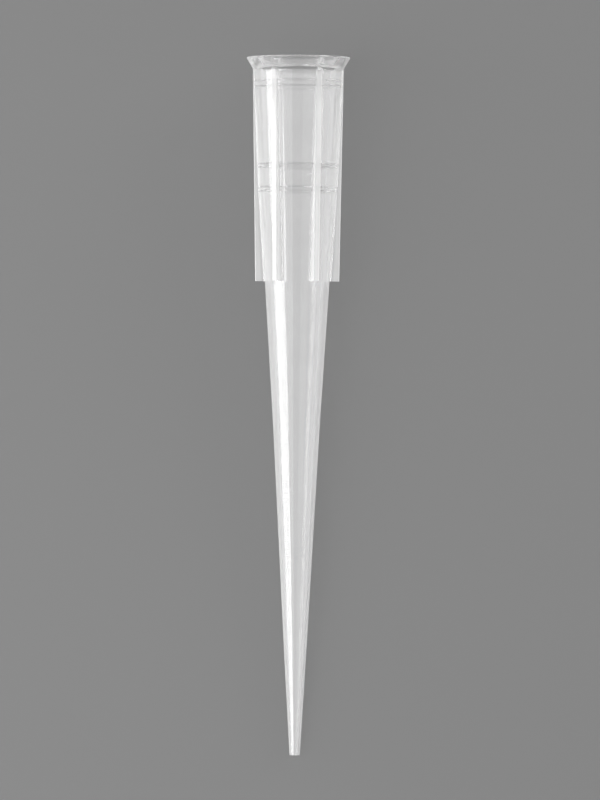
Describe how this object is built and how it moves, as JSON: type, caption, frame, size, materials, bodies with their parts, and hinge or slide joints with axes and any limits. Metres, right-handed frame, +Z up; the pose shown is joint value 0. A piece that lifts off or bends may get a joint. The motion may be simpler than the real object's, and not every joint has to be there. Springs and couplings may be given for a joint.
{
  "type": "pipette tip",
  "caption": "Slim tapered pipette tip with a flared mouth, a finned collar with flat feet and a fine orifice, lying on its side.",
  "frame": {"origin": "on the floor under the middle of the tip's box, as it lies at rest", "axes": "+Z up; +Y along the floor towards the mouth; the tip's own axis rises towards the mouth by 3.7 degrees"},
  "size_m": [0.0076, 0.051, 0.0075],
  "materials": {
    "clear_polypropylene": "clear natural polypropylene, slightly milky, glossy"
  },
  "bodies": {
    "root": {"tip": "clear_polypropylene"}
  },
  "joints": []
}
